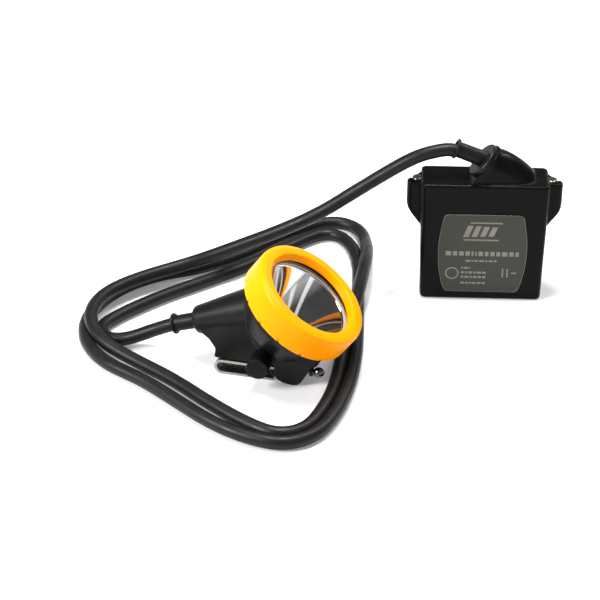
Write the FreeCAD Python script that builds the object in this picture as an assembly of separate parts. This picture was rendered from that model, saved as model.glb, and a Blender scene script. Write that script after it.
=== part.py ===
import FreeCAD, Part
import math
import os

# Miner's cap lamp: a belt battery pack, a headpiece and the cable that joins them.
# Millimetres.  The origin is the centre of the battery pack's base, +X to its right,
# +Y out of its back (the belt side) and +Z up.  The label faces -Y.

V = FreeCAD.Vector

# ---- driving dimensions ---------------------------------------------------------------
# Battery pack
PACK_W = 75.2            # case width at the parting line
PACK_W_BASE = 72.8       # case width at the base, after the mould's draft
PACK_D = 26.0            # case depth
PACK_H = 78.0            # base to the lid's top
WALL = 2.3               # moulded wall
CASE_TOP = 68.4          # parting line
CORNER_R = 3.0           # upright corners
BASE_EDGE_R = 2.6
LID_EDGE_R = 1.5
GASKET_T = 0.6
LUG_REACH = 46.0         # lug's outer face, from the centre plane
LUG_TOP = 75.4
LUG_KNEE = 59.2          # where the lug's outer face starts to slope in
LUG_FOOT = 44.4          # where the slope meets the case
SCREW_X = 39.6
SCREW_Y = 3.0
SCREW_HEAD_R = 3.3
SCREW_SEAT = 1.6         # depth of the head's counterbore
INSERT_R = 2.55
INSERT_L = 10.8
CELL_R = 9.2
CELL_H = 65.0
CELL_PITCH = 19.0
BELT_SLOT_H = 50.0       # takes a 50 mm belt
BELT_GAP = 5.5
BELT_LOOP_W = 12.0
BELT_LOOP_X = (-26.0, 14.0)

# Label plate, let into the front; half widths at the bottom, middle and top
PLATE_LOW, PLATE_HIGH = 6.1, 59.1
PLATE_HALF_W = (22.7, 26.5, 23.5)
PLATE_T = 0.75
PLATE_RECESS = 0.25

# Cable hood on the lid: its mouth faces up and to the left
HOOD_TILT = 40.0         # mouth's normal above horizontal
HOOD_X, HOOD_Z = 0.4, 86.7
HOOD_R = 12.0
FLANGE_T = 1.6
GLAND_R = 10.9
GLAND_T = 2.6
BUSH_TILT = 21.5         # strain relief's axis above horizontal
BUSH_X, BUSH_Z = -4.6, 90.5

# Strain reliefs, the same moulding at both ends
BUSH_R = 4.9
BUSH_LIP_R = 6.1
BUSH_LIP_T = 1.6
BUSH_L = 14.2            # root to the lip's outer face
BUSH_SPIGOT = 6.6        # hidden in the hood or the neck

# Cable
CABLE_D = 8.0
CABLE_FIT = 0.03         # radial room inside a strain relief

# Headpiece, built in its own frame: +X' along its plane of symmetry from the cable end
# to the charging stud, +Y' away from the knob, +Z up, standing on its hook and foot
HEAD_X, HEAD_Y = -101.0, -92.5
HEAD_YAW = -11.5
LIGHT_TILT = 36.0        # light axis leans from vertical towards +X'
FACE_X, FACE_H = 3.0, 52.0   # centre of the bezel's front face

BEZEL_R = 35.1
BEZEL_L = 17.0
BEZEL_LIP_R = 26.2       # clear opening
BEZEL_BORE_R = 32.2
NOTCHES = 15             # round the bezel's rear rim
NOTCH_START = 3.0
CUP_R = 31.95
LENS_R = 28.9
LENS_FRONT = -4.8
LENS_T = 2.5
FOCUS = 7.0              # of the paraboloid
REFLECTOR_RIM = -8.1
REFLECTOR_T = 1.2
REFLECTOR_MOUTH_R = 26.4
REFLECTOR_HOLE_R = 4.5
REFLECTOR_VERTEX = REFLECTOR_RIM - REFLECTOR_MOUTH_R ** 2 / (4 * FOCUS)
LED_PLANE = REFLECTOR_VERTEX - 0.6

NECK_TILT = 18.8
NECK_END = V(-66.0, 0, 23.2)
NECK_END_R = 8.0
NECK_ROOT_R = 17.0
NECK_L = 54.0
FLANK = [(-62.5, 8.0, 10.5), (-50.0, 10.6, 14.6), (-24.0, 15.2, 15.5), (14.0, 18.0, 15.5)]
LAMP_BUSH_ROOT = V(-66.0, 0, 23.2)
FOOT_Z = 9.2             # underside of the foot above the hook
HOOK_T = 1.5
HOOK_HALF_W = 16.0
HOOK_FOLD_X = -46.4
HOOK_TIP_X = -16.4
HOOK_LEG_END_X = -15.8
HOOK_SCREW_X = (-40.0, -24.0)
KNOB_X, KNOB_Z = -22.0, 15.6
KNOB_R = 6.3
KNOB_RIBS = 26
KNOB_FACE_Y = -30.0
KNOB_L = 11.5
SHAFT_R = 1.6
STUD_Y, STUD_Z = -15.3, 9.4
STUD_BALL_R = 3.1
STUD_BALL_X = 10.2
STUD_SEAT_X = 5.2
LOBE_IN, LOBE_OUT = 11.3, 18.4   # the foot's two lobes, each side of the centre plane

# Free cable route, from inside the pack's strain relief to inside the headpiece's
CABLE_ROUTE = [
    # arching down from the hood to the ground
    (-5.3, 0, 90.8), (-18.5, 0, 96), (-32.5, -0.6, 93.6), (-43.5, -0.9, 89.2), (-56, -0.6, 80.8),
    (-76.1, 0.2, 66), (-98.2, 1.7, 49), (-122.3, 3.2, 35.5), (-148.3, 4, 23.5), (-172.3, 2.5, 13.8),
    (-192, -4.4, 10.6), (-211.4, -17.2, 10.4), (-226.6, -35.9, 11.6), (-231.6, -59.2, 11.8),
    (-221.8, -78.7, 7),
    # inner loop: left side, bottom, right side, then over the outer loop
    (-201.1, -92.9, 4), (-176.3, -111.8, 4), (-152.2, -135.8, 4), (-129.4, -154.8, 4), (-114, -162.6, 4),
    (-99.7, -157, 4), (-91, -139.1, 4), (-84.2, -112.8, 4), (-81.5, -81.6, 5), (-77.2, -55.4, 12),
    (-73, -25.2, 13.5), (-69.7, 3, 13.5), (-68.7, 27, 9.5), (-70, 45, 5), (-72.6, 58.9, 4),
    (-80.6, 68.6, 4), (-93.2, 71.5, 4), (-107.9, 63.4, 4),
    # outer loop: behind the lamp, left side, bottom, right side
    (-126.3, 49, 4), (-145.3, 27.7, 4), (-170.6, 10.6, 4), (-199.2, 0.3, 4), (-221.4, -19.2, 4),
    (-234.2, -46.3, 4),
    (-232.6, -72.2, 4), (-219, -95.6, 4), (-194.3, -112.1, 4), (-173.4, -131.7, 4), (-152.5, -151.8, 4),
    (-130.9, -165.4, 4), (-110.6, -171, 4), (-94, -162.3, 4), (-83.9, -142.8, 4), (-77, -116.5, 4),
    (-73.4, -83.3, 4), (-73.4, -50.2, 4), (-73.8, -18.2, 4), (-73.5, 10.8, 4), (-76, 32.7, 4),
    (-81.1, 46.5, 4), (-88.5, 54.7, 4), (-97.5, 55.8, 4), (-106.3, 49.9, 4),
    # back past the lamp, a tight turn, and into the headpiece
    (-119.7, 36.8, 4), (-142.7, 13.8, 4), (-167.9, -5.8, 4), (-190.2, -22.3, 4), (-205.6, -36.5, 4),
    (-216.1, -47.5, 4), (-223.2, -57.3, 4), (-223.3, -66.8, 4), (-216.5, -72.8, 4), (-206, -73.1, 5.2),
    (-192.5, -73.5, 11.4), (-178.7, -76.7, 18.7), (-165.6, -79.3, 23.2)]


# ---- helpers --------------------------------------------------------------------------
def polar(radius, degrees):
    """Point of a circle in the XY plane."""
    angle = math.radians(degrees)
    return V(radius * math.cos(angle), radius * math.sin(angle), 0)


def cylinder(radius, length, base, axis):
    return Part.makeCylinder(radius, length, V(*base), V(*axis))


def ring(outer, inner, z_low, z_high):
    """Washer about the Z axis."""
    body = cylinder(outer, z_high - z_low, (0, 0, z_low), (0, 0, 1))
    return body.cut(cylinder(inner, z_high - z_low + 2, (0, 0, z_low - 1), (0, 0, 1)))


def prism(points, direction):
    """Closed polygon of points, extruded along direction."""
    corners = [V(*p) for p in points]
    wire = Part.makePolygon(corners + [corners[0]])
    return Part.Face(wire).extrude(V(*direction))


def rounded_wire(width, depth, radius, z, y=0.0):
    """Rectangle with round corners, centred on x = 0."""
    x, h = width / 2, depth / 2
    k = radius * (1 - math.sqrt(0.5))
    edges = []
    corners = [(x, h), (-x, h), (-x, -h), (x, -h)]
    for i, (cx, cy) in enumerate(corners):
        sx, sy = math.copysign(1, cx), math.copysign(1, cy)
        on_x_side = V(cx, y + cy - sy * radius, z)
        on_y_side = V(cx - sx * radius, y + cy, z)
        mid = V(cx - sx * k, y + cy - sy * k, z)
        first, last = (on_x_side, on_y_side) if i % 2 == 0 else (on_y_side, on_x_side)
        edges.append((first, mid, last))
    parts = []
    for i, (first, mid, last) in enumerate(edges):
        parts.append(Part.Arc(first, mid, last).toShape())
        parts.append(Part.LineSegment(last, edges[(i + 1) % 4][0]).toShape())
    return Part.Wire(parts)


def rounded_block(width, depth, radius, z_low, z_high, y=0.0):
    face = Part.Face(rounded_wire(width, depth, radius, z_low, y))
    return face.extrude(V(0, 0, z_high - z_low))


def mirrored(shape):
    """The shape and its image on the other side of the YZ plane."""
    return [shape, shape.mirror(V(0, 0, 0), V(1, 0, 0))]


def revolved(profile):
    """Closed (radius, z) profile turned about the Z axis."""
    corners = [V(r, 0, z) for r, z in profile]
    wire = Part.makePolygon(corners + [corners[0]])
    return Part.Face(wire).revolve(V(0, 0, 0), V(0, 0, 1), 360)


def tilt_vector(degrees):
    """Unit vector pointing left, raised above the horizontal."""
    angle = math.radians(degrees)
    return V(-math.cos(angle), 0, math.sin(angle))


def tube_path(points):
    """Straight runs joined by tangent arcs, with its length and its radii."""
    corners = [V(*p) for p in points]
    edges, radii = [], []
    length = 0.0
    start = corners[0]
    for before, corner, after in zip(corners, corners[1:], corners[2:]):
        back, ahead = before - corner, after - corner
        half_turn = (math.pi - back.getAngle(ahead)) / 2
        setback = 0.45 * min(back.Length, ahead.Length)
        radius = setback / math.tan(half_turn)
        back.normalize()
        ahead.normalize()
        enter, leave = corner + back * setback, corner + ahead * setback
        inward = (back + ahead).normalize()
        mid = corner + inward * (radius / math.cos(half_turn) - radius)
        edges.append(Part.LineSegment(start, enter).toShape())
        edges.append(Part.Arc(enter, mid, leave).toShape())
        length += (enter - start).Length + 2 * half_turn * radius
        radii.append(radius)
        start = leave
    edges.append(Part.LineSegment(start, corners[-1]).toShape())
    length += (corners[-1] - start).Length
    return Part.Wire(edges), length, radii


def tube(points, radius):
    """Round tube along a route of points."""
    path, length, radii = tube_path(points)
    heading = V(*points[1]) - V(*points[0])
    circle = Part.Wire(Part.makeCircle(radius, V(*points[0]), heading))
    solid = path.makePipeShell([circle], True, False)
    return solid, length, radii


def in_head(shape):
    """From the headpiece's frame to the model's."""
    placed = shape.copy()
    turn = FreeCAD.Rotation(V(0, 0, 1), HEAD_YAW)
    placed.Placement = FreeCAD.Placement(V(HEAD_X, HEAD_Y, 0), turn).multiply(placed.Placement)
    return placed


def along_light(shape):
    """From a frame on the light axis (z = 0 at the front face) to the headpiece's."""
    placed = shape.copy()
    lean = FreeCAD.Rotation(V(0, 1, 0), LIGHT_TILT)
    placed.Placement = FreeCAD.Placement(V(FACE_X, 0, FACE_H), lean).multiply(placed.Placement)
    return placed


# ---- battery pack ---------------------------------------------------------------------
def lug(z_low, z_high):
    """Right-hand screw lug between two heights, with its back corner cut away."""
    plan = [(33, -4.5), (43.5, -4.5), (45.2, -3.6), (LUG_REACH, -1.8), (LUG_REACH, 0.5),
            (40, 7.5), (36, 11.5), (33, 11.5)]
    return prism([(x, y, z_low) for x, y in plan], (0, 0, z_high - z_low))


def pack_case():
    shell = Part.makeLoft([rounded_wire(PACK_W_BASE, PACK_D, CORNER_R, 0.0),
                           rounded_wire(PACK_W, PACK_D, CORNER_R, CASE_TOP)], True, True)
    low_edges = [e for e in shell.Edges if e.BoundBox.ZMax < 0.1]
    shell = shell.makeFillet(BASE_EDGE_R, low_edges)
    side = prism([(30, -14, CASE_TOP), (LUG_REACH, -14, CASE_TOP),
                  (LUG_REACH, -14, LUG_KNEE + 1.5), (LUG_REACH - 0.8, -14, LUG_KNEE - 1.5),
                  (LUG_REACH - 2.6, -14, LUG_KNEE - 4.5), (36, -14, LUG_FOOT),
                  (30, -14, LUG_FOOT)], (0, 28, 0))
    ear = lug(LUG_FOOT, CASE_TOP).common(side)
    for half in mirrored(ear):
        shell = shell.fuse(half)
    room = rounded_block(PACK_W - 2 * WALL, PACK_D - 2 * WALL, 2.0, WALL, CASE_TOP + 1)
    shell = shell.cut(room)
    pocket_floor = (SCREW_X, SCREW_Y, CASE_TOP - INSERT_L - 0.2)
    for pocket in mirrored(cylinder(INSERT_R + 0.05, 12.0, pocket_floor, (0, 0, 1))):
        shell = shell.cut(pocket)
    recess = prism([(x, PLATE_RECESS - PACK_D / 2, z) for x, z in plate_corners(0.3)], (0, -1, 0))
    return shell.cut(recess).removeSplitter()


def soft_corner(start, corner, end, steps=5):
    """Points on the curve that leaves start and reaches end, drawn towards the corner."""
    found = []
    for i in range(steps + 1):
        t = i / steps
        found.append(tuple((1 - t) ** 2 * a + 2 * t * (1 - t) * c + t * t * b
                           for a, c, b in zip(start, corner, end)))
    return found


def plate_corners(grow=0.0):
    """Barrel-sided outline of the label plate, bottom to top on the right, then back."""
    low, high = PLATE_LOW - grow, PLATE_HIGH + grow
    bottom, middle, top = (half + grow for half in PLATE_HALF_W)
    steps = 8
    right = []
    for i in range(steps + 1):
        t = i / steps
        x = (1 - t) * (1 - 2 * t) * bottom + 4 * t * (1 - t) * middle + t * (2 * t - 1) * top
        right.append((x, low + 1.8 + t * (high - low - 3.6)))
    right = soft_corner((bottom - 2.6, low), (bottom, low), right[1]) + right[2:-2]
    right += soft_corner((middle * 0.2 + top * 0.8, high - 3.2), (top, high), (top - 2.8, high))
    left = [(-x, z) for x, z in reversed(right)]
    return right + left


def label_plate():
    plate = prism([(x, PLATE_RECESS - PACK_D / 2, z) for x, z in plate_corners()], (0, -PLATE_T, 0))
    front = [e for e in plate.Edges if e.BoundBox.YMax < -PACK_D / 2 - 0.45]
    return plate.makeChamfer(0.25, front)


def lid_gasket():
    outer = rounded_block(PACK_W - 0.3, PACK_D - 0.3, 2.9, CASE_TOP, CASE_TOP + GASKET_T)
    inner = rounded_block(PACK_W - 2 * WALL, PACK_D - 2 * WALL, 2.0, CASE_TOP - 1, CASE_TOP + 2)
    return outer.cut(inner)


def arch(x, z, tilt, radius, skirt, foot=None):
    """Arch across a body: half a circle on straight sides, foot apart at the bottom."""
    foot = radius if foot is None else foot
    up = V(math.sin(math.radians(tilt)), 0, math.cos(math.radians(tilt)))
    side = V(0, 1, 0)
    centre = V(x, 0, z)
    left, right = centre - side * radius, centre + side * radius
    low_left, low_right = centre - side * foot - up * skirt, centre + side * foot - up * skirt
    crown = Part.Arc(left, centre + up * radius, right).toShape()
    lines = [Part.LineSegment(right, low_right), Part.LineSegment(low_right, low_left),
             Part.LineSegment(low_left, left)]
    return Part.Wire([crown] + [line.toShape() for line in lines])


def pack_lid():
    low = CASE_TOP + GASKET_T
    top = rounded_block(PACK_W, PACK_D, CORNER_R, low, PACK_H)
    top = top.makeFillet(LID_EDGE_R, [e for e in top.Edges if e.BoundBox.ZMin > PACK_H - 0.1])
    ear = lug(CASE_TOP + 0.05, LUG_TOP)
    ear = ear.cut(Part.makeBox(PACK_W, 40, 2, V(-PACK_W / 2, -20, low - 2)))
    rim = [e for e in ear.Edges if e.BoundBox.ZMin > LUG_TOP - 0.1 and e.BoundBox.XMax > 36.5]
    ear = ear.makeChamfer(0.7, rim)
    for half in mirrored(ear):
        top = top.fuse(half)
    ridge = Part.makeLoft([
        arch(HOOD_X, HOOD_Z, HOOD_TILT, 11.2, 14),
        arch(7.0, 84.6, 28, 10.7, 14),
        arch(16.5, 79.6, 24, 10.2, 12),
        arch(25.5, 73.0, 26, 8.8, 10)], True, False)
    above = Part.makeBox(60, 40, 40, V(-12, -20, PACK_H - 1.5))
    ridge = ridge.common(above)
    flange = Part.Face(arch(HOOD_X, HOOD_Z, HOOD_TILT, HOOD_R, 16, 11.4))
    flange = flange.extrude(tilt_vector(HOOD_TILT) * FLANGE_T)
    top = top.fuse(ridge).fuse(flange.common(above))
    room = rounded_block(PACK_W - 2 * WALL, PACK_D - 2 * WALL, 2.0, low - 1, PACK_H - WALL)
    top = top.cut(room)
    inward = tilt_vector(BUSH_TILT) * -1
    bore_start = V(BUSH_X, 0, BUSH_Z) - inward * 3
    top = top.cut(Part.makeCylinder(BUSH_R + 0.1, 9.5, bore_start, inward))
    lead_way = Part.makeCylinder(3.2, 22, V(1.0, 0, 88.5), V(0.25, 0, -1))
    top = top.cut(lead_way)
    for sign in (1, -1):
        seat = cylinder(SCREW_HEAD_R + 0.4, 3, (sign * SCREW_X, SCREW_Y, LUG_TOP - SCREW_SEAT), (0, 0, 1))
        hole = cylinder(1.9, 20, (sign * SCREW_X, SCREW_Y, low - 5), (0, 0, 1))
        top = top.cut(seat).cut(hole)
    return top.removeSplitter()


def gland_ring():
    """Collar that holds the strain relief in the hood, with grip notches round it."""
    axis = tilt_vector(HOOD_TILT)
    base = V(HOOD_X, 0, HOOD_Z) + axis * FLANGE_T
    body = Part.makeCylinder(GLAND_R, GLAND_T, base, axis)
    rim = [e for e in body.Edges if e.Closed and (e.CenterOfMass - base).Length > 1]
    body = body.makeChamfer(0.5, rim)
    way = tilt_vector(BUSH_TILT)
    root = V(BUSH_X, 0, BUSH_Z)
    body = body.cut(Part.makeCylinder(BUSH_R + 0.12, 24, root - way * 8, way))
    return body.common(Part.makeBox(60, 40, 40, V(-30, -20, PACK_H + 0.1)))


def bush(cable_points):
    """Rubber strain relief about its own bore, which the cable's first run fills."""
    root, mouth = V(*cable_points[0]), V(*cable_points[1])
    axis = (mouth - root).normalize()
    start = root - axis * BUSH_SPIGOT
    body = Part.makeCone(BUSH_R, BUSH_R - 0.25, BUSH_L + BUSH_SPIGOT - 0.2, start, axis)
    lip = Part.makeCylinder(BUSH_LIP_R, BUSH_LIP_T, root + axis * (BUSH_L - BUSH_LIP_T), axis)
    lip = lip.makeFillet(0.6, [e for e in lip.Edges if e.Closed])
    body = body.fuse(lip)
    bore = Part.makeCylinder(CABLE_D / 2 + CABLE_FIT, BUSH_L + BUSH_SPIGOT + 4,
                             start - axis * 2, axis)
    mouth_cone = Part.makeCone(CABLE_D / 2, CABLE_D / 2 + 1.2, 3.2, mouth - axis * 2.2, axis)
    return body.cut(bore.fuse(mouth_cone))


def lid_screws():
    group = []
    for sign in (1, -1):
        x = sign * SCREW_X
        head = cylinder(SCREW_HEAD_R, 1.5, (x, SCREW_Y, LUG_TOP - SCREW_SEAT), (0, 0, 1))
        head = head.makeFillet(0.6, [e for e in head.Edges if e.BoundBox.ZMin > LUG_TOP - 0.3])
        slot = Part.makeBox(4.4, 0.8, 0.7, V(x - 2.2, SCREW_Y - 0.4, LUG_TOP - 0.75))
        cross = Part.makeBox(0.8, 4.4, 0.7, V(x - 0.4, SCREW_Y - 2.2, LUG_TOP - 0.75))
        shank = cylinder(1.5, 16.5, (x, SCREW_Y, LUG_TOP - 18.0), (0, 0, 1))
        group.append(head.cut(slot).cut(cross).fuse(shank).removeSplitter())
    return Part.makeCompound(group)


def lug_inserts():
    insert = ring(INSERT_R, 1.55, CASE_TOP - INSERT_L - 0.1, CASE_TOP - 0.1)
    insert.translate(V(SCREW_X, SCREW_Y, 0))
    return Part.makeCompound(mirrored(insert))


def cells():
    group = []
    for i in (-1, 0, 1):
        can = cylinder(CELL_R, CELL_H - 1.0, (i * CELL_PITCH, 0, WALL + 1.0), (0, 0, 1))
        button = cylinder(3.0, 1.0, (i * CELL_PITCH, 0, WALL + CELL_H), (0, 0, 1))
        group.append(can.fuse(button))
    return Part.makeCompound(group)


def cell_holder():
    tray = rounded_block(PACK_W - 2 * WALL - 0.4, PACK_D - 2 * WALL - 0.4, 1.8, WALL, 11.0)
    for i in (-1, 0, 1):
        tray = tray.cut(cylinder(CELL_R + 0.1, 20, (i * CELL_PITCH, 0, WALL + 1.0), (0, 0, 1)))
    return tray


def cell_strap():
    z = WALL + CELL_H + 1.0
    return Part.makeBox(2 * CELL_PITCH + 8, 8, 0.3, V(-CELL_PITCH - 4, -4, z))


def protection_board():
    return Part.makeBox(48, 16, 1.6, V(-24, -8, 71.0))


def pack_leads():
    group = []
    for y in (-1.6, 1.6):
        points = [(2.2, y, 87.2), (2.9, y, 84.5), (3.8, y, 80.5), (5.0, y, 73.2)]
        group.append(tube(points, 1.1)[0])
    return Part.makeCompound(group)


def belt_loops():
    """Two straps on the back: feet on the case, a bridge that leaves the belt's slot."""
    back = PACK_D / 2
    outer = back + BELT_GAP
    low, high = 7.0, 7.0 + BELT_SLOT_H + 10.0
    group = []
    for x in BELT_LOOP_X:
        profile = [(x, back, low - 2), (x, outer + 2.4, low + 3), (x, outer + 2.4, high - 3),
                   (x, back, high), (x, back, high - 5), (x, outer, high - 6),
                   (x, outer, low + 6), (x, back, low + 5)]
        group.append(prism(profile, (BELT_LOOP_W, 0, 0)))
    return Part.makeCompound(group)


# ---- headpiece ------------------------------------------------------------------------
def bezel_ring():
    profile = [(BEZEL_BORE_R, -BEZEL_L), (BEZEL_R - 0.5, -BEZEL_L), (BEZEL_R, -BEZEL_L + 0.5),
               (BEZEL_R, -3.6), (BEZEL_R - 0.35, -2.0), (BEZEL_R - 1.3, -0.8),
               (BEZEL_R - 2.8, -0.15), (BEZEL_R - 4.2, 0.0), (28.4, 0.0), (27.7, -0.25),
               (BEZEL_LIP_R, -3.3), (BEZEL_LIP_R, -4.4), (BEZEL_BORE_R, -4.4)]
    body = revolved(profile)
    for i in range(NOTCHES):
        place = polar(BEZEL_R + 0.4, 360 / NOTCHES * i + NOTCH_START)
        notch = cylinder(0.9, 3.0, place, (0, 0, 1))
        notch.translate(V(0, 0, -BEZEL_L - 1.2))
        body = body.cut(notch)
    return along_light(body)


def lens():
    return along_light(cylinder(LENS_R, LENS_T, (0, 0, LENS_FRONT - LENS_T), (0, 0, 1)))


def lens_gasket():
    return along_light(ring(LENS_R, 26.7, REFLECTOR_RIM, LENS_FRONT - LENS_T))


def reflector():
    """Thin paraboloid with a rim that lies on the cup's ledge."""
    steps = 10
    inner = []
    for i in range(steps + 1):
        r = REFLECTOR_HOLE_R + (REFLECTOR_MOUTH_R - REFLECTOR_HOLE_R) * i / steps
        inner.append(V(r, 0, REFLECTOR_VERTEX + r * r / (4 * FOCUS)))
    outer = [p + V(REFLECTOR_T * 0.7, 0, -REFLECTOR_T) for p in inner]
    bowl = Part.BSplineCurve()
    bowl.interpolate(inner)
    back = Part.BSplineCurve()
    back.interpolate(outer[:-1])
    rim_out = V(LENS_R, 0, REFLECTOR_RIM)
    rim_low = V(LENS_R, 0, REFLECTOR_RIM - 1.0)
    rim_in = V(outer[-2].x, 0, REFLECTOR_RIM - 1.0)
    lines = [(inner[-1], rim_out), (rim_out, rim_low), (rim_low, V(27.9, 0, rim_low.z)),
             (V(27.9, 0, rim_low.z), outer[-2]), (outer[0], inner[0])]
    edges = [bowl.toShape(), back.toShape()]
    edges += [Part.LineSegment(a, b).toShape() for a, b in lines]
    wire = Part.Wire(Part.sortEdges(edges)[0])
    return along_light(Part.Face(wire).revolve(V(0, 0, 0), V(0, 0, 1), 360))


def led_board():
    return along_light(cylinder(11.0, 1.6, (0, 0, LED_PLANE - 1.6), (0, 0, 1)))


def emitter(x, y, pad, dome):
    base = Part.makeBox(2 * pad, 2 * pad, 0.5, V(x - pad, y - pad, LED_PLANE))
    ball = Part.makeSphere(dome, V(x, y, LED_PLANE + 0.45))
    half = ball.common(Part.makeBox(20, 20, 10, V(x - 10, y - 10, LED_PLANE + 0.45)))
    return base.fuse(half)


def main_led():
    return along_light(emitter(0, 0, 1.7, 1.4))


def side_leds():
    return along_light(Part.makeCompound([emitter(-3.3, 0, 0.7, 0.6), emitter(3.3, 0, 0.7, 0.6)]))


def heat_sink():
    disc = cylinder(11.5, 3.8, (0, 0, LED_PLANE - 5.4), (0, 0, 1))
    for i in range(5):
        slot = Part.makeBox(30, 1.4, 2.2, V(-15, -9.1 + 4.2 * i, LED_PLANE - 5.5))
        disc = disc.cut(slot)
    return along_light(disc)


def cup(shrink):
    """Body of the cup about the light axis; shrink gives the room inside it."""
    back = -42.5 + shrink
    profile = [(0, back), (15.5 - shrink, back), (22.5 - shrink, -35.5), (28.6 - shrink, -23.5),
               (30.4 - shrink, -17.5)]
    if shrink:
        profile += [(27.9, -9.1), (LENS_R + 0.1, -9.1), (LENS_R + 0.1, 0), (0, 0)]
    else:
        profile += [(31.1, -17.4), (CUP_R, -16.7), (CUP_R, LENS_FRONT), (0, LENS_FRONT)]
    return along_light(revolved(profile))


def neck(shrink):
    """Tapered neck that carries the cable; shrink gives the room inside it."""
    axis = tilt_vector(NECK_TILT) * -1
    axis = V(axis.x, 0, abs(axis.z))
    if shrink:
        start = NECK_END + axis * 11
        return Part.makeCone(6.0, NECK_ROOT_R - shrink - 1, NECK_L - 11, start, axis)
    end = Part.makeCone(NECK_END_R, NECK_ROOT_R, NECK_L, NECK_END, axis)
    rim = [e for e in end.Edges if e.Closed and (e.CenterOfMass - NECK_END).Length < 1]
    return end.makeFillet(3.4, rim)


def foot():
    """Block under the cup, flat above the hook, with a standing lobe each side in front."""
    outline = [(-51.5, FOOT_Z), (-51.0, 14.2), (-55.5, 18.6), (-60.0, 20.6), (-62.0, 26.0),
               (-50, 50), (8, 60), (12.5, 20), (9.5, 14), (5.5, 9.6), (4.0, FOOT_Z)]
    block = prism([(x, -20, z) for x, z in outline], (0, 40, 0))
    sections = []
    for x, radius, foot_half in FLANK:
        height = NECK_END.z + (x - NECK_END.x) * math.tan(math.radians(NECK_TILT))
        sections.append(arch(x, height, 0, radius, height - FOOT_Z, foot_half))
    block = block.common(Part.makeLoft(sections, True, True))
    lobe = [(-15.4, 20.0), (-15.4, 5.0), (-13.5, 2.4), (-10.0, 0.8), (-6.5, 0.0), (-3.5, 0.0),
            (-1.8, 0.5), (0.2, 2.2), (1.8, 4.9), (3.7, 8.3), (5.0, 11.0), (8.0, 15.0),
            (12.0, 20.0)]
    for y in (LOBE_IN, -LOBE_OUT):
        block = block.fuse(prism([(x, y, z) for x, z in lobe], (0, LOBE_OUT - LOBE_IN, 0)))
    bezel_room = cylinder(BEZEL_R + 2, 60, (0, 0, -BEZEL_L - 0.4), (0, 0, 1))
    return block.cut(along_light(bezel_room))


def lamp_housing():
    body = cup(0).fuse(foot()).fuse(neck(0))
    boss_l = -KNOB_FACE_Y - KNOB_L - 12 - 0.4
    body = body.fuse(cylinder(5.2, boss_l, (KNOB_X, -12, KNOB_Z), (0, -1, 0)))
    room = cup(WALL).fuse(neck(WALL))
    floor = Part.makeBox(120, 80, 60, V(-70, -40, FOOT_Z + 2.2))
    body = body.cut(room.common(floor))
    body = body.cut(Part.makeBox(18.5, 22, 9, V(-47, -11, FOOT_Z + 2.2)))
    body = body.cut(Part.makeBox(9.0, 9.0, 6.2, V(-28.5, -13.4, FOOT_Z + 2.2)))
    body = body.cut(cylinder(1.75, 40, (KNOB_X, -40, KNOB_Z), (0, 1, 0)))
    body = body.cut(cylinder(3.0, 2.2, (KNOB_X, KNOB_FACE_Y + KNOB_L - 0.2, KNOB_Z), (0, 1, 0)))
    axis = tilt_vector(NECK_TILT)
    inward = V(-axis.x, 0, axis.z)
    body = body.cut(Part.makeCylinder(BUSH_R + 0.1, 14, LAMP_BUSH_ROOT - inward * 2.0, inward))
    body = body.cut(cylinder(1.6, 20, (-4, STUD_Y, STUD_Z), (1, 0, 0)))
    body = body.cut(Part.makeBox(6.0, 8.0, 9.5, V(-7.0, STUD_Y - 2.4, STUD_Z - 3.4)))
    body = body.cut(cylinder(2.75, 8, (STUD_SEAT_X, STUD_Y, STUD_Z), (1, 0, 0)))
    room_start = (KNOB_X, KNOB_FACE_Y + KNOB_L + 0.3, KNOB_Z)
    turning_room = cylinder(KNOB_R + 1.7, 30, room_start, (0, -1, 0))
    body = body.cut(turning_room)
    for x in HOOK_SCREW_X:
        body = body.cut(cylinder(1.3, 6, (x, 0, FOOT_Z - 1), (0, 0, 1)))
    return body.removeSplitter()


def lamp_bush():
    return bush(list(reversed(CABLE_ROUTE)))


def hook():
    """Stainless strip folded to a U; the helmet's bracket goes between its legs."""
    radius = FOOT_Z / 2
    inner = radius - HOOK_T
    y = -HOOK_HALF_W
    width = 2 * HOOK_HALF_W
    upper = Part.makeBox(HOOK_LEG_END_X - HOOK_FOLD_X, width, HOOK_T, V(HOOK_FOLD_X, y, FOOT_Z - HOOK_T))
    lower = Part.makeBox(HOOK_TIP_X - HOOK_FOLD_X, width, HOOK_T, V(HOOK_FOLD_X, y, 0))
    fold = cylinder(radius, width, (HOOK_FOLD_X, y, radius), (0, 1, 0))
    fold = fold.cut(cylinder(inner, width, (HOOK_FOLD_X, y, radius), (0, 1, 0)))
    left = Part.makeBox(20, width, FOOT_Z, V(HOOK_FOLD_X - 20, y, 0))
    strip = upper.fuse(lower).fuse(fold.common(left)).removeSplitter()
    for x in HOOK_SCREW_X:
        strip = strip.cut(cylinder(1.5, 4, (x, 0, FOOT_Z - 3), (0, 0, 1)))
    return strip


def hook_screws():
    group = []
    for x in HOOK_SCREW_X:
        head = cylinder(2.6, 1.2, (x, 0, FOOT_Z - HOOK_T - 1.2), (0, 0, 1))
        head = head.makeFillet(0.5, [e for e in head.Edges if e.BoundBox.ZMax < FOOT_Z - 2.6])
        shank = cylinder(1.25, 4.4, (x, 0, FOOT_Z - HOOK_T - 0.1), (0, 0, 1))
        group.append(head.fuse(shank))
    return Part.makeCompound(group)


def driver_board():
    return Part.makeBox(16.5, 18, 1.4, V(-46, -9, FOOT_Z + 3.6))


def switch_block():
    return Part.makeBox(8.0, 7.4, 5.6, V(-28.0, -12.6, FOOT_Z + 2.4))


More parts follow.
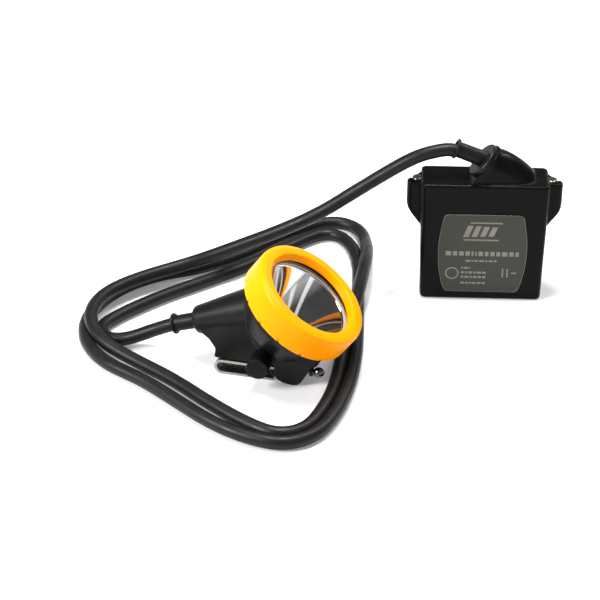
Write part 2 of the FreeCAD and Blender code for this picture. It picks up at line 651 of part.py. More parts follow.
def switch_knob():
    """Ribbed knob with a pointer nub at its rim, turning about -Y'."""
    body = cylinder(KNOB_R, KNOB_L, (0, KNOB_FACE_Y, 0), (0, 1, 0))
    body = body.makeFillet(0.5, [e for e in body.Edges if e.Closed and e.CenterOfMass.y < -29])
    for i in range(KNOB_RIBS):
        p = polar(KNOB_R + 0.25, 360 / KNOB_RIBS * i)
        groove = cylinder(0.5, KNOB_L - 2.2, (p.x, KNOB_FACE_Y + 2.2, p.y), (0, 1, 0))
        body = body.cut(groove)
    p = polar(KNOB_R - 0.2, 222)
    body = body.fuse(cylinder(1.3, 2.4, (p.x, KNOB_FACE_Y + 0.4, p.y), (0, 1, 0)))
    body = body.cut(cylinder(SHAFT_R, 12, (0, KNOB_FACE_Y + 3, 0), (0, 1, 0)))
    body.translate(V(KNOB_X, 0, KNOB_Z))
    return body


def switch_shaft():
    start = KNOB_FACE_Y + 3.0
    return cylinder(SHAFT_R, -12.8 - start, (KNOB_X, start, KNOB_Z), (0, 1, 0))


def switch_o_ring():
    y = KNOB_FACE_Y + KNOB_L + 0.9
    return Part.makeTorus(2.35, 0.55, V(KNOB_X, y, KNOB_Z), V(0, 1, 0))


def charge_boss():
    body = cylinder(2.7, 1.6, (STUD_SEAT_X, STUD_Y, STUD_Z), (1, 0, 0))
    return body.cut(cylinder(1.6, 10, (STUD_SEAT_X - 2, STUD_Y, STUD_Z), (1, 0, 0)))


def charge_stud():
    ball = Part.makeSphere(STUD_BALL_R, V(STUD_BALL_X, STUD_Y, STUD_Z))
    shank = cylinder(1.5, STUD_BALL_X + 5.0, (-5.0, STUD_Y, STUD_Z), (1, 0, 0))
    return ball.fuse(shank).removeSplitter()


def charge_nut():
    points = [polar(2.325, 60 * i) for i in range(6)]
    corners = [(-3.1, STUD_Y + p.x, STUD_Z + p.y) for p in points]
    hexagon = prism(corners, (2.0, 0, 0))
    return hexagon.cut(cylinder(1.55, 8, (-6, STUD_Y, STUD_Z), (1, 0, 0)))


def cable():
    solid, length, radii = tube(CABLE_ROUTE, CABLE_D / 2)
    expected = math.pi * (CABLE_D / 2) ** 2 * length
    print("cable length %.0f mm, volume %.0f of %.0f mm3" % (length, solid.Volume, expected))
    print("cable radii mm:", " ".join("%.0f" % r for r in radii))
    return solid


# ---- nodes ----------------------------------------------------------------------------
PACK_NODES = {
    "pack_case": pack_case, "pack_lid": pack_lid, "lid_gasket": lid_gasket,
    "lid_screws": lid_screws, "lug_inserts": lug_inserts, "label_plate": label_plate,
    "cells": cells, "cell_strap": cell_strap, "cell_holder": cell_holder,
    "protection_board": protection_board, "belt_loops": belt_loops, "gland_ring": gland_ring,
    "pack_leads": pack_leads, "pack_bush": lambda: bush(CABLE_ROUTE), "cable": cable,
    "lamp_bush": lamp_bush}
HEAD_NODES = {
    "lamp_housing": lamp_housing, "bezel_ring": bezel_ring, "lens": lens,
    "lens_gasket": lens_gasket, "reflector": reflector, "led_board": led_board,
    "main_led": main_led, "side_leds": side_leds, "heat_sink": heat_sink,
    "driver_board": driver_board, "switch_block": switch_block, "switch_knob": switch_knob,
    "switch_shaft": switch_shaft, "switch_o_ring": switch_o_ring, "charge_boss": charge_boss,
    "charge_stud": charge_stud, "charge_nut": charge_nut, "helmet_hook": hook,
    "hook_screws": hook_screws}


def main():
    os.makedirs("parts", exist_ok=True)
    shapes = {name: make() for name, make in PACK_NODES.items()}
    shapes.update({name: in_head(make()) for name, make in HEAD_NODES.items()})
    for name, shape in shapes.items():
        if not shape.isValid() or not shape.Solids:
            print("not a valid solid:", name)
        shape.exportStep("parts/%s.step" % name)
    print(len(shapes), "nodes")


main()
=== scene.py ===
import bpy
import math
from mathutils import Matrix, Vector


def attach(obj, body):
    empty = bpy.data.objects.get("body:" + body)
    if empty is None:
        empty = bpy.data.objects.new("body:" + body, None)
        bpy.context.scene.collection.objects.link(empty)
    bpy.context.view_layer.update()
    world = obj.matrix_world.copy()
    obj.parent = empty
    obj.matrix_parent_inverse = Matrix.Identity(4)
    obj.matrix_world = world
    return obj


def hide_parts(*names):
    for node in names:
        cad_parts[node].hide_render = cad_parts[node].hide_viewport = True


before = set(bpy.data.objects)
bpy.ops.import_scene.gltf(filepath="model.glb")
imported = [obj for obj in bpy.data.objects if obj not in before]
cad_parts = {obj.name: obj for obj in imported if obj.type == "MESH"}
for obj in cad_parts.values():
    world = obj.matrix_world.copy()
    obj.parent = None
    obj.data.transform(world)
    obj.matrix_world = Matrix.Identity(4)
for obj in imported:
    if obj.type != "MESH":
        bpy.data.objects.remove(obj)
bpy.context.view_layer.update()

# ---- places in the shared frame, metres ---------------------------------------------
# HEAD is the headpiece's own frame; LIGHT is on the light axis at the bezel's front face.
HEAD_YAW = math.radians(-11.5)
LIGHT_TILT = math.radians(36.0)
HEAD = Matrix.Translation((-0.101, -0.0925, 0.0)) @ Matrix.Rotation(HEAD_YAW, 4, "Z")
LIGHT = HEAD @ Matrix.Translation((0.003, 0, 0.052)) @ Matrix.Rotation(LIGHT_TILT, 4, "Y")
MM = 0.001


# ---- camera -------------------------------------------------------------------------
FOCAL_LENGTH = 114.0
SENSOR_WIDTH = 36.0
CAMERA_PLACE = (-0.0661, -0.9933, 0.610)
CAMERA_TILT = 58.0      # from straight down
CAMERA_PAN = 2.5

camera_data = bpy.data.cameras.new("camera")
camera_data.lens = FOCAL_LENGTH
camera_data.sensor_width = SENSOR_WIDTH
camera = bpy.data.objects.new("camera", camera_data)
camera.location = CAMERA_PLACE
camera.rotation_euler = (math.radians(CAMERA_TILT), 0.0, math.radians(CAMERA_PAN))
bpy.context.scene.collection.objects.link(camera)
bpy.context.scene.camera = camera
bpy.context.scene.view_settings.view_transform = "Standard"


# ---- material helpers ---------------------------------------------------------------
class Nodes:
    """A node material about one Principled shader."""

    def __init__(self, name, color, rough, **sockets):
        self.material = bpy.data.materials.new(name)
        self.material.use_nodes = True
        self.tree = self.material.node_tree
        self.shader = self.tree.nodes["Principled BSDF"]
        self.shader.inputs["Base Color"].default_value = (*color, 1.0)
        self.shader.inputs["Roughness"].default_value = rough
        for key, value in sockets.items():
            self.shader.inputs[key.replace("_", " ")].default_value = value
        self.place = self.new("ShaderNodeTexCoord").outputs["Object"]

    def new(self, kind, **settings):
        node = self.tree.nodes.new(kind)
        for key, value in settings.items():
            setattr(node, key, value)
        return node

    def link(self, a, b):
        self.tree.links.new(a, b)

    def noise(self, scale, detail=3.0, roughness=0.5, stretch=None, turn=0.0):
        node = self.new("ShaderNodeTexNoise")
        node.inputs["Scale"].default_value = scale
        node.inputs["Detail"].default_value = detail
        node.inputs["Roughness"].default_value = roughness
        source = self.place
        if stretch:
            mapping = self.new("ShaderNodeMapping")
            mapping.inputs["Scale"].default_value = stretch
            mapping.inputs["Rotation"].default_value = (0.0, 0.0, turn)
            self.link(self.place, mapping.inputs["Vector"])
            source = mapping.outputs["Vector"]
        self.link(source, node.inputs["Vector"])
        return node.outputs["Fac"]

    def ramp(self, value, stops):
        node = self.new("ShaderNodeValToRGB")
        elements = node.color_ramp.elements
        while len(elements) < len(stops):
            elements.new(0.5)
        for element, (position, color) in zip(elements, stops):
            element.position = position
            element.color = (*color, 1.0)
        self.link(value, node.inputs["Fac"])
        return node.outputs["Color"]

    def span(self, value, low, high, out_low, out_high):
        node = self.new("ShaderNodeMapRange")
        node.inputs["From Min"].default_value = low
        node.inputs["From Max"].default_value = high
        node.inputs["To Min"].default_value = out_low
        node.inputs["To Max"].default_value = out_high
        self.link(value, node.inputs["Value"])
        return node.outputs["Result"]

    def bump(self, value, strength, distance):
        node = self.new("ShaderNodeBump")
        node.inputs["Strength"].default_value = strength
        node.inputs["Distance"].default_value = distance
        self.link(value, node.inputs["Height"])
        previous = self.shader.inputs["Normal"]
        if previous.is_linked:
            self.link(previous.links[0].from_socket, node.inputs["Normal"])
        self.link(node.outputs["Normal"], previous)


def moulded(name, dark, light, rough, grain=2600.0, depth=0.00002, **sockets):
    """Moulded plastic: faint mottling, a fine grain and uneven gloss."""
    made = Nodes(name, dark, rough, **sockets)
    cloud = made.noise(70.0, 4.0)
    made.link(made.ramp(cloud, [(0.3, dark), (0.75, light)]), made.shader.inputs["Base Color"])
    smear = made.noise(160.0, 5.0, 0.6)
    made.link(made.span(smear, 0.3, 0.7, rough - 0.05, rough + 0.07), made.shader.inputs["Roughness"])
    made.bump(made.noise(grain, 2.0), 0.35, depth)
    return made.material


def metal(name, color, dark, rough, stretch=(1, 1, 1), scale=900.0, turn=0.0):
    """Bare metal: fine streaks in its tone and gloss."""
    made = Nodes(name, color, rough, Metallic=1.0)
    streak = made.noise(scale, 3.0, 0.5, stretch, turn)
    made.link(made.ramp(streak, [(0.25, dark), (0.7, color)]), made.shader.inputs["Base Color"])
    made.link(made.span(streak, 0.3, 0.7, rough - 0.04, rough + 0.05), made.shader.inputs["Roughness"])
    made.bump(streak, 0.06, 0.00001)
    return made.material


case_plastic = moulded("case_plastic", (0.0018, 0.0017, 0.0018), (0.0030, 0.0028, 0.0029), 0.26,
                       Specular_IOR_Level=0.07)
head_plastic = moulded("head_plastic", (0.0034, 0.0034, 0.0036), (0.0052, 0.0050, 0.0052), 0.35,
                       Specular_IOR_Level=0.16)
knob_plastic = moulded("knob_plastic", (0.0040, 0.0040, 0.0042), (0.0060, 0.0058, 0.0060), 0.40,
                       Specular_IOR_Level=0.13)
rubber = moulded("rubber", (0.0045, 0.0045, 0.0047), (0.0070, 0.0068, 0.0070), 0.42, 1800.0, 0.00003,
                 Specular_IOR_Level=0.14)
foam = moulded("foam", (0.03, 0.03, 0.03), (0.05, 0.05, 0.05), 0.85, 900.0, 0.0001)
board_green = moulded("board_green", (0.01, 0.05, 0.02), (0.015, 0.08, 0.03), 0.35)
board_white = moulded("board_white", (0.75, 0.75, 0.72), (0.85, 0.85, 0.82), 0.4)
cell_wrap = moulded("cell_wrap", (0.02, 0.07, 0.22), (0.03, 0.10, 0.30), 0.3)
lead_red = moulded("lead_red", (0.30, 0.01, 0.01), (0.42, 0.02, 0.015), 0.4)
zinc = metal("zinc", (0.40, 0.37, 0.30), (0.28, 0.26, 0.21), 0.26)
strip_steel = metal("strip_steel", (0.34, 0.33, 0.31), (0.22, 0.21, 0.20), 0.24, (0.03, 1, 1), 1500.0,
                    -HEAD_YAW)
ball_steel = metal("ball_steel", (0.17, 0.165, 0.15), (0.12, 0.115, 0.105), 0.14)
brass = metal("brass", (0.60, 0.42, 0.16), (0.42, 0.28, 0.10), 0.32)
heat_metal = metal("heat_metal", (0.80, 0.80, 0.81), (0.62, 0.62, 0.63), 0.30)


def cable_material():
    """Extruded rubber sheath: satin, with a talc bloom and tiny pits."""
    made = Nodes("cable_rubber", (0.006, 0.006, 0.0062), 0.40, Specular_IOR_Level=0.19)
    bloom = made.noise(55.0, 5.0, 0.65)
    made.link(made.ramp(bloom, [(0.35, (0.0045, 0.0045, 0.0048)), (0.8, (0.0100, 0.0097, 0.0098))]),
              made.shader.inputs["Base Color"])
    made.link(made.span(made.noise(240.0, 4.0), 0.3, 0.7, 0.34, 0.50), made.shader.inputs["Roughness"])
    made.bump(made.noise(1500.0, 2.0), 0.3, 0.00003)
    return made.material


cable_rubber = cable_material()


def yellow_material():
    """Yellow ring: dense pigmented plastic with a little light spread inside it."""
    made = Nodes("ring_yellow", (0.95, 0.29, 0.0), 0.30, Specular_IOR_Level=0.07)
    cloud = made.noise(60.0, 4.0)
    made.link(made.ramp(cloud, [(0.3, (0.93, 0.275, 0.0)), (0.7, (0.97, 0.305, 0.0))]),
              made.shader.inputs["Base Color"])
    made.shader.inputs["Subsurface Weight"].default_value = 0.12
    made.shader.inputs["Subsurface Radius"].default_value = (1.0, 0.45, 0.05)
    made.shader.inputs["Subsurface Scale"].default_value = 0.002
    made.link(made.span(made.noise(200.0, 4.0), 0.3, 0.7, 0.27, 0.34), made.shader.inputs["Roughness"])
    made.bump(made.noise(2200.0, 2.0), 0.15, 0.00001)
    return made.material


ring_yellow = yellow_material()


def lens_material():
    made = Nodes("lens_clear", (0.02, 0.02, 0.02), 0.04, Alpha=0.10)
    made.link(made.span(made.noise(120.0, 3.0), 0.3, 0.7, 0.02, 0.07), made.shader.inputs["Roughness"])
    return made.material


lens_clear = lens_material()
silicone = moulded("silicone", (0.62, 0.56, 0.45), (0.72, 0.66, 0.56), 0.45)


def mirror_material():
    made = Nodes("mirror", (0.90, 0.90, 0.90), 0.05, Metallic=1.0)
    made.link(made.ramp(made.noise(90.0, 3.0), [(0.3, (0.84, 0.84, 0.84)), (0.7, (0.93, 0.93, 0.93))]),
              made.shader.inputs["Base Color"])
    made.bump(made.noise(220.0, 3.0), 0.05, 0.00002)
    return made.material


mirror = mirror_material()


def emitter_material():
    made = Nodes("emitter", (0.90, 0.75, 0.20), 0.25)
    made.link(made.ramp(made.noise(1500.0, 2.0), [(0.3, (0.85, 0.68, 0.15)), (0.7, (0.95, 0.82, 0.3))]),
              made.shader.inputs["Base Color"])
    return made.material


emitter = emitter_material()


def plate_material():
    """Anodised plate, brushed across."""
    made = Nodes("plate_metal", (0.075, 0.074, 0.064), 0.42, Metallic=0.6)
    streak = made.noise(700.0, 4.0, 0.65, (1.5, 1, 40))
    cloud = made.noise(30.0, 3.0)
    made.link(made.ramp(streak, [(0.2, (0.024, 0.0245, 0.020)), (0.8, (0.037, 0.0375, 0.031))]),
              made.shader.inputs["Base Color"])
    made.link(made.span(cloud, 0.3, 0.7, 0.36, 0.50), made.shader.inputs["Roughness"])
    made.bump(streak, 0.12, 0.00002)
    return made.material


plate_metal = plate_material()
plate_edge = metal("plate_edge", (0.16, 0.157, 0.14), (0.11, 0.108, 0.096), 0.34)
print_ink = moulded("print_ink", (0.125, 0.122, 0.096), (0.165, 0.160, 0.128), 0.55)
sheath_print = moulded("sheath_print", (0.20, 0.22, 0.24), (0.34, 0.36, 0.38), 0.6)


def assign(node, material):
    piece = bpy.data.objects[node]
    piece.data.materials.clear()
    piece.data.materials.append(material)


for node_name, node_material in {
        "pack_case": case_plastic, "pack_lid": case_plastic, "lid_gasket": case_plastic,
        "lid_screws": zinc, "lug_inserts": brass, "label_plate": plate_metal,
        "cells": cell_wrap, "cell_strap": heat_metal, "cell_holder": foam,
        "protection_board": board_green, "belt_loops": case_plastic, "gland_ring": head_plastic,
        "pack_leads": lead_red, "pack_bush": rubber, "lamp_bush": rubber,
        "lamp_housing": head_plastic, "lens": lens_clear, "lens_gasket": silicone,
        "reflector": mirror, "led_board": board_white, "main_led": emitter,
        "side_leds": emitter, "heat_sink": heat_metal, "driver_board": board_green,
        "switch_block": knob_plastic, "switch_knob": knob_plastic, "switch_shaft": strip_steel,
        "switch_o_ring": rubber, "charge_boss": knob_plastic, "charge_stud": ball_steel,
        "charge_nut": brass, "helmet_hook": strip_steel, "hook_screws": zinc,
        "bezel_ring": ring_yellow, "cable": cable_rubber}.items():
    assign(node_name, node_material)


# ---- mesh helpers -------------------------------------------------------------------
def add_piece(name, mesh, material, body, smooth=True):
    piece = bpy.data.objects.new(name, mesh)
    bpy.context.scene.collection.objects.link(piece)
    mesh.materials.clear()
    mesh.materials.append(material)
    if smooth:
        for polygon in mesh.polygons:
            polygon.use_smooth = True
    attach(piece, body)
    return piece


def from_data(name, points, faces):
    mesh = bpy.data.meshes.new(name)
    mesh.from_pydata([tuple(p) for p in points], [], faces)
    mesh.update()
    return mesh


def lathe(name, profile, steps, place, shape=None):
    """Closed ring of a closed profile (radius, height) in mm about the local Z axis."""
    points, faces = [], []
    count = len(profile)
    for i in range(steps):
        angle = 2 * math.pi * i / steps
        for r, z in profile:
            r = shape(angle, r, z) if shape else r
            point = Vector((r * math.cos(angle), r * math.sin(angle), z)) * MM
            points.append(place @ point)
    for i in range(steps):
        j = (i + 1) % steps
        for k in range(count):
            m = (k + 1) % count
            faces.append((i * count + k, j * count + k, j * count + m, i * count + m))
    return from_data(name, points, faces)


def rounded(profile, radius=0.5, steps=4):
    """Closed profile with each corner turned into a small arc."""
    result = []
    count = len(profile)
    for i in range(count):
        before, here, after = (Vector(profile[j % count]) for j in (i - 1, i, i + 1))
        a, b = before - here, after - here
        cut = min(radius, 0.45 * a.length, 0.45 * b.length)
        start, end = here + a.normalized() * cut, here + b.normalized() * cut
        for s in range(steps + 1):
            t = s / steps
            result.append(tuple((1 - t) ** 2 * start + 2 * t * (1 - t) * here + t * t * end))
    return result


# ---- cable --------------------------------------------------------------------------
CABLE_D = 0.008
# from inside the pack's strain relief to inside the headpiece's, mm
CABLE_ROUTE = [
    (-5.3, 0, 90.8), (-18.5, 0, 96), (-32.5, -0.6, 93.6), (-43.5, -0.9, 89.2), (-56, -0.6, 80.8),
    (-76.1, 0.2, 66), (-98.2, 1.7, 49), (-122.3, 3.2, 35.5), (-148.3, 4, 23.5), (-172.3, 2.5, 13.8),
    (-192, -4.4, 10.6), (-211.4, -17.2, 10.4), (-226.6, -35.9, 11.6), (-231.6, -59.2, 11.8),
    (-221.8, -78.7, 7),
    (-201.1, -92.9, 4), (-176.3, -111.8, 4), (-152.2, -135.8, 4), (-129.4, -154.8, 4), (-114, -162.6, 4),
    (-99.7, -157, 4), (-91, -139.1, 4), (-84.2, -112.8, 4), (-81.5, -81.6, 5), (-77.2, -55.4, 12),
    (-73, -25.2, 13.5), (-69.7, 3, 13.5), (-68.7, 27, 9.5), (-70, 45, 5), (-72.6, 58.9, 4),
    (-80.6, 68.6, 4), (-93.2, 71.5, 4), (-107.9, 63.4, 4),
    (-126.3, 49, 4), (-145.3, 27.7, 4), (-170.6, 10.6, 4), (-199.2, 0.3, 4), (-221.4, -19.2, 4),
    (-234.2, -46.3, 4),
    (-232.6, -72.2, 4), (-219, -95.6, 4), (-194.3, -112.1, 4), (-173.4, -131.7, 4), (-152.5, -151.8, 4),
    (-130.9, -165.4, 4), (-110.6, -171, 4), (-94, -162.3, 4), (-83.9, -142.8, 4), (-77, -116.5, 4),
    (-73.4, -83.3, 4), (-73.4, -50.2, 4), (-73.8, -18.2, 4), (-73.5, 10.8, 4), (-76, 32.7, 4),
    (-81.1, 46.5, 4), (-88.5, 54.7, 4), (-97.5, 55.8, 4), (-106.3, 49.9, 4),
    (-119.7, 36.8, 4), (-142.7, 13.8, 4), (-167.9, -5.8, 4), (-190.2, -22.3, 4), (-205.6, -36.5, 4),
    (-216.1, -47.5, 4), (-223.2, -57.3, 4), (-223.3, -66.8, 4), (-216.5, -72.8, 4), (-206, -73.1, 5.2),
    (-192.5, -73.5, 11.4), (-178.7, -76.7, 18.7), (-165.6, -79.3, 23.2)]



def route_curve(name):
    """The cable's route as one smooth open curve in the scene."""
    curve = bpy.data.curves.new(name, "CURVE")
    curve.dimensions = "3D"
    curve.resolution_u = 10
    spline = curve.splines.new("NURBS")
    spline.points.add(len(CABLE_ROUTE) - 1)
    for point, (x, y, z) in zip(spline.points, CABLE_ROUTE):
        point.co = (x * MM, y * MM, z * MM, 1.0)
    spline.order_u = 3
    spline.use_endpoint_u = True
    piece = bpy.data.objects.new(name, curve)
    bpy.context.scene.collection.objects.link(piece)
    return piece


sheath = route_curve("cable_sheath")
sheath.data.bevel_depth = CABLE_D / 2
sheath.data.bevel_resolution = 7
sheath.data.use_fill_caps = True
sheath.data.materials.append(cable_rubber)
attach(sheath, "lamp")
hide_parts("cable")


# ---- bezel, lens and reflector ------------------------------------------------------
BEZEL = [(32.2, -17.0), (35.1, -17.0), (35.1, -14.9), (35.1, -2.6), (34.5, -0.8), (32.0, 0.0),
         (28.0, 0.0), (26.2, -3.3), (26.2, -4.4), (32.2, -4.4)]
NOTCH_PITCH, NOTCH_START, NOTCH_HALF_ANGLE = 24.0, 3.0, 1.2   # degrees
NOTCH_TOP, NOTCH_FLOOR_R = -15.0, 34.1


def notched(angle, r, z):
    """Radius at an angle, cut back where one of the rear rim's notches lies."""
    offset = (math.degrees(angle) - NOTCH_START + NOTCH_PITCH / 2) % NOTCH_PITCH - NOTCH_PITCH / 2
    inside = abs(offset) < NOTCH_HALF_ANGLE and z < NOTCH_TOP
    return min(r, NOTCH_FLOOR_R) if inside else r


bezel_skin = lathe("bezel_moulding", rounded(BEZEL, 0.7, 5), 360, LIGHT, notched)
bezel = add_piece("bezel_moulding", bezel_skin, ring_yellow, "bezel")
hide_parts("bezel_ring")

LENS_R, LENS_FRONT, LENS_BACK = 28.8, -4.8, -7.3
AXIS_R = 0.02            # keeps the lathe's middle points apart
LENS = [(AXIS_R, LENS_FRONT), (LENS_R, LENS_FRONT), (LENS_R, LENS_BACK), (AXIS_R, LENS_BACK)]
window = add_piece("window", lathe("window", rounded(LENS, 0.25, 2), 128, LIGHT), lens_clear, "lamp")
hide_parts("lens")

FOCUS, RIM_Z, MOUTH_R, HOLE_R = 7.0, -8.1, 26.4, 4.5
VERTEX = RIM_Z - MOUTH_R ** 2 / (4 * FOCUS)
BOWL_STEPS = 40
bowl = []
for step in range(BOWL_STEPS + 1):
    radius = HOLE_R + (MOUTH_R - HOLE_R) * step / BOWL_STEPS
    bowl.append((radius, VERTEX + radius ** 2 / (4 * FOCUS)))
back = [(r + 0.5, z - 0.8) for r, z in reversed(bowl[:-2])]
rim_flange = [(LENS_R, RIM_Z), (LENS_R, RIM_Z - 0.8), (27.9, RIM_Z - 0.9)]
reflector_skin = lathe("reflector_bowl", bowl + rim_flange + back, 160, LIGHT)
reflector = add_piece("reflector_bowl", reflector_skin, mirror, "lamp")
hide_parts("reflector")


# ---- lamp housing and battery case, each blended like one moulding -------------------
def remeshed(nodes, name, voxel, relax):
    """Copies of CAD nodes as one even skin, its corners melted into fillets."""
    points, faces = [], []
    for node in nodes:
        mesh = bpy.data.objects[node].data
        start = len(points)
        points += [vertex.co.copy() for vertex in mesh.vertices]
        faces += [[start + i for i in polygon.vertices] for polygon in mesh.polygons]
    piece = bpy.data.objects.new(name, from_data(name, points, faces))
    bpy.context.scene.collection.objects.link(piece)
    skin = piece.modifiers.new("skin", "REMESH")
    skin.mode = "VOXEL"
    skin.voxel_size = voxel
    ease = piece.modifiers.new("ease", "SMOOTH")
    ease.factor = 0.5
    ease.iterations = relax
    graph = bpy.context.evaluated_depsgraph_get()
    graph.update()
    made = bpy.data.meshes.new_from_object(piece.evaluated_get(graph))
    bpy.data.objects.remove(piece)
    made.name = name
    return made


HOUSING_VOXEL = 0.00055
HOUSING_RELAX = 9
PACK_VOXEL = 0.0006
PACK_RELAX = 7

housing_skin = remeshed(["lamp_housing"], "housing_moulding", HOUSING_VOXEL, HOUSING_RELAX)
housing = add_piece("housing_moulding", housing_skin, head_plastic, "lamp")
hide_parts("lamp_housing")

PACK_SHELL = ["pack_case", "lid_gasket", "pack_lid"]
pack_skin = remeshed(PACK_SHELL, "pack_moulding", PACK_VOXEL, PACK_RELAX)
shell = add_piece("pack_moulding", pack_skin, case_plastic, "lamp")
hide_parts(*PACK_SHELL)


# ---- label plate: rim and plain printed patches --------------------------------------
# mm in the pack's front plane; half widths at the bottom, middle and top
PLATE_FRONT = -13.5
PLATE_LOW, PLATE_HIGH = 6.1, 59.1
PLATE_HALF_W = (22.7, 26.5, 23.5)


def soft_corner(start, corner, end, steps=5):
    """Points on the curve that leaves start and reaches end, drawn towards the corner."""
    found = []
    for i in range(steps + 1):
        t = i / steps
        found.append(tuple((1 - t) ** 2 * a + 2 * t * (1 - t) * c + t * t * b
                           for a, c, b in zip(start, corner, end)))
    return found


def plate_outline(steps=8):
    """Barrel-sided outline of the plate, up the right side and down the left."""
    low, high = PLATE_LOW, PLATE_HIGH
    bottom, middle, top = PLATE_HALF_W
    right = []
    for i in range(steps + 1):
        t = i / steps
        x = (1 - t) * (1 - 2 * t) * bottom + 4 * t * (1 - t) * middle + t * (2 * t - 1) * top
        right.append((x, low + 1.8 + t * (high - low - 3.6)))
    right = soft_corner((bottom - 2.6, low), (bottom, low), right[1]) + right[2:-2]
    right += soft_corner((middle * 0.2 + top * 0.8, high - 3.2), (top, high), (top - 2.8, high))
    return right + [(-x, z) for x, z in reversed(right)]


def sweep(name, path, section):
    """Closed section (out, forward) in mm carried round a path in the plate's plane."""
    points, faces = [], []
    count, ring = len(path), len(section)
    for i, (x, z) in enumerate(path):
        before, after = path[i - 1], path[(i + 1) % count]
        along = Vector((after[0] - before[0], after[1] - before[1])).normalized()
        out = Vector((along.y, -along.x))
        for a, b in section:
            points.append(Vector((x + out.x * a, PLATE_FRONT + b, z + out.y * a)) * MM)
    for i in range(count):
        j = (i + 1) % count
        for k in range(ring):
            m = (k + 1) % ring
            faces.append((i * ring + k, j * ring + k, j * ring + m, i * ring + m))
    return from_data(name, points, faces)


RIM = [(0.0, 0.2), (-0.36, 0.2), (-0.36, -0.01), (-0.2, -0.08), (-0.08, -0.04), (0.02, 0.06)]
rim = add_piece("plate_rim", sweep("plate_rim", plate_outline(), RIM), plate_edge, "lamp")


def block(points, faces, outline, proud=0.05):
    """Printed patch: a thin raised tile with the outline given in the plate's plane."""
    start, count = len(points), len(outline)
    for depth in (0.02, -proud):
        for x, z in outline:
            points.append(Vector((x, PLATE_FRONT + depth, z)) * MM)
    faces.append([start + count + i for i in range(count)])
    for i in range(count):
        j = (i + 1) % count
        faces.append((start + i, start + j, start + count + j, start + count + i))


def bar(x, z, width, height, slant=0.0):
    """Outline of a bar from its left end and its mid height."""
    half = height / 2
    lean = slant * half
    return [(x - lean, z - half), (x + width - lean, z - half), (x + width + lean, z + half),
            (x + lean, z + half)]


def tile_row(tiles, x, z, height, widths, gap):
    """A row of plain bars side by side."""
    for width in widths:
        tiles.append(bar(x, z, width, height))
        x += width + gap


# a slanted emblem between two lines, rows of tiles, then three bars at the right
tiles = []
for i in range(4):
    tiles.append(bar(-10.6 + 4.9 * i, 47.8, 3.2, 7.8 - 0.5 * i, 0.35))
tiles.append(bar(-11.6, 42.0, 20.8, 0.9))
tiles.append(bar(-7.9, 53.6, 19.0, 0.9))
tile_row(tiles, -21.8, 32.6, 3.0,
         [3.3, 2.5, 2.7, 2.5, 1.1, 0.8, 2.7, 2.2, 2.5, 2.2, 3.3, 2.5, 1.9], 1.1)
tile_row(tiles, -9.6, 27.6, 1.2, [2.6, 1.1, 2.0, 2.9, 1.3, 2.2, 1.8], 0.75)
tile_row(tiles, -12.2, 22.7, 1.2, [1.0, 2.2, 0.9], 0.7)
tile_row(tiles, -12.2, 19.5, 1.4, [2.0, 1.1, 2.3, 1.2, 2.6, 2.2], 0.7)
tile_row(tiles, -12.2, 16.4, 1.4, [1.6, 2.4, 1.3, 2.0, 2.2, 1.8], 0.7)
tile_row(tiles, -12.2, 12.2, 1.2, [2.2, 1.5, 0.9, 2.3, 2.6, 1.6], 0.7)
tiles.append(bar(12.2, 19.6, 0.9, 6.0))
tiles.append(bar(15.0, 19.6, 0.9, 6.0))
tiles.append(bar(17.8, 19.6, 3.2, 0.9))
RING_X, RING_Z = -17.6, 18.8
RING_OUT, RING_IN, RING_STEPS = 4.1, 3.3, 24
points, faces = [], []
for outline in tiles:
    block(points, faces, outline)
for i in range(RING_STEPS):
    a, b = 2 * math.pi * i / RING_STEPS, 2 * math.pi * (i + 1) / RING_STEPS
    corners = [(RING_OUT, a), (RING_OUT, b), (RING_IN, b), (RING_IN, a)]
    block(points, faces, [(RING_X + r * math.cos(t), RING_Z + r * math.sin(t)) for r, t in corners])
marks = add_piece("plate_print", from_data("plate_print", points, faces), print_ink, "lamp", False)


# ---- plain dashes printed along the cable --------------------------------------------
def centreline():
    """Points along the sheath's own spline, in order from the pack."""
    holder = route_curve("cable_line")
    bpy.context.view_layer.update()
    mesh = bpy.data.meshes.new_from_object(holder)
    found = [vertex.co.copy() for vertex in mesh.vertices]
    line = holder.data
    bpy.data.objects.remove(holder)
    bpy.data.curves.remove(line)
    return found


LINE = centreline()


def along_line(distance):
    """Place and direction at a distance from the pack's end."""
    for a, b in zip(LINE, LINE[1:]):
        step = (b - a).length
        if distance <= step:
            return a.lerp(b, distance / step), (b - a).normalized()
        distance -= step
    return LINE[-1], (LINE[-1] - LINE[-2]).normalized()


INK_PROUD, INK_T = 0.00004, 0.00005


def dashes(name, start, end, turn, height, lengths, gap):
    """Short tiles bent round the sheath, one after the other."""
    radius = CABLE_D / 2 + INK_PROUD
    points, faces = [], []
    position, number = start, 0
    while position < end:
        length = lengths[number % len(lengths)] * MM
        first = len(points)
        for i in range(3):
            centre, way = along_line(position + length * i / 2)
            side = way.cross(Vector((0, 0, 1))).normalized()
            up = side.cross(way)
            for k in range(4):
                angle = turn + height / CABLE_D * 2 * (k / 3 - 0.5)
                points.append(centre + (side * math.sin(angle) + up * math.cos(angle)) * radius)
        for i in range(2):
            for k in range(3):
                a = first + i * 4 + k
                faces.append((a, a + 4, a + 5, a + 1))
        position += length + gap * MM
        number += 1
    mesh = from_data(name, points, faces)
    piece = add_piece(name, mesh, sheath_print, "lamp")
    thicken = piece.modifiers.new("thick", "SOLIDIFY")
    thicken.thickness = INK_T
    thicken.offset = -1.0
    return piece


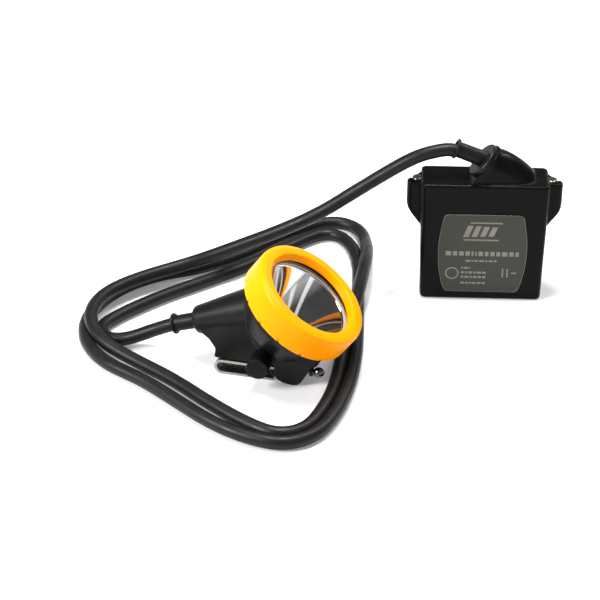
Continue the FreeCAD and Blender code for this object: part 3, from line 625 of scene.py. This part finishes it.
dash_lengths = [1.6, 0.7, 1.9, 1.2, 0.6, 1.6, 1.0, 1.8, 0.8, 1.3]
MARKS_FROM, MARKS_TO = 0.026, 0.088      # along the cable, from the pack
MARKS_TURN = math.radians(18)            # round the cable, from its top
MARKS_HEIGHT, MARKS_GAP = 0.0012, 1.0
cable_marks = dashes("cable_marks", MARKS_FROM, MARKS_TO, MARKS_TURN, MARKS_HEIGHT, dash_lengths,
                     MARKS_GAP)


# ---- studio -------------------------------------------------------------------------
FLOOR_HALF = 4
floor_corners = [(-1, -1), (1, -1), (1, 1), (-1, 1)]
floor_mesh = from_data("floor", [(x * FLOOR_HALF, y * FLOOR_HALF, 0) for x, y in floor_corners],
                       [(0, 1, 2, 3)])
floor = bpy.data.objects.new("floor", floor_mesh)
bpy.context.scene.collection.objects.link(floor)
floor_look = Nodes("floor_paper", (0.66, 0.66, 0.66), 0.9, Emission_Strength=0.20)
floor_look.shader.inputs["Emission Color"].default_value = (1.0, 1.0, 1.0, 1.0)
floor_tone = floor_look.ramp(floor_look.noise(3.0), [(0.3, (0.655, 0.655, 0.655)),
                                                     (0.7, (0.665, 0.665, 0.665))])
floor_look.link(floor_tone, floor_look.shader.inputs["Base Color"])
floor_mesh.materials.append(floor_look.material)

world = bpy.data.worlds.new("studio")
bpy.context.scene.world = world
world.use_nodes = True
sky = world.node_tree
sky_place = sky.nodes.new("ShaderNodeTexCoord")
sky_axes = sky.nodes.new("ShaderNodeSeparateXYZ")


def grey_ramp(stops):
    """Ramp node of the sky, from (position, grey level) stops."""
    node = sky.nodes.new("ShaderNodeValToRGB")
    elements = node.color_ramp.elements
    while len(elements) < len(stops):
        elements.new(0.5)
    for element, (position, level) in zip(elements, stops):
        element.position = position
        element.color = (level, level, level, 1.0)
    return node


# bright at the horizon and dark overhead, with two bright panels to the right
sky_ramp = grey_ramp([(0.08, 0.55), (0.55, 0.06)])
panel_ramp = grey_ramp([(0.0, 0.0), (0.16, 0.0), (0.20, 1.0), (0.30, 1.0), (0.34, 0.0), (0.58, 0.0),
                        (0.62, 0.8), (0.70, 0.8), (0.74, 0.0)])
sky.links.new(sky_place.outputs["Generated"], sky_axes.inputs["Vector"])
sky.links.new(sky_axes.outputs["Z"], sky_ramp.inputs["Fac"])
sky.links.new(sky_axes.outputs["X"], panel_ramp.inputs["Fac"])
sky_sum = sky.nodes.new("ShaderNodeVectorMath")
sky_sum.operation = "ADD"
sky.links.new(sky_ramp.outputs["Color"], sky_sum.inputs[0])
sky.links.new(panel_ramp.outputs["Color"], sky_sum.inputs[1])
sky.links.new(sky_sum.outputs["Vector"], sky.nodes["Background"].inputs["Color"])
sky.nodes["Background"].inputs["Strength"].default_value = 1.0


def softbox(name, location, target, size, power, size_y=None):
    """Area light aimed at a point; size_y makes it a strip."""
    data = bpy.data.lights.new(name, "AREA")
    data.energy = power
    data.size = size
    if size_y:
        data.shape = "RECTANGLE"
        data.size_y = size_y
    lamp = bpy.data.objects.new(name, data)
    lamp.location = location
    direction = Vector(target) - Vector(location)
    lamp.rotation_euler = direction.to_track_quat("-Z", "Y").to_euler()
    bpy.context.scene.collection.objects.link(lamp)


softbox("overhead", (-0.15, 0.05, 1.30), (-0.1, -0.05, 0), 0.38, 24.0)
softbox("left", (-1.05, -0.55, 0.75), (-0.1, -0.05, 0.03), 0.45, 24.0)
softbox("strip", (0.55, 0.50, 1.10), (-0.02, 0.0, 0.06), 0.12, 10.0, 0.80)
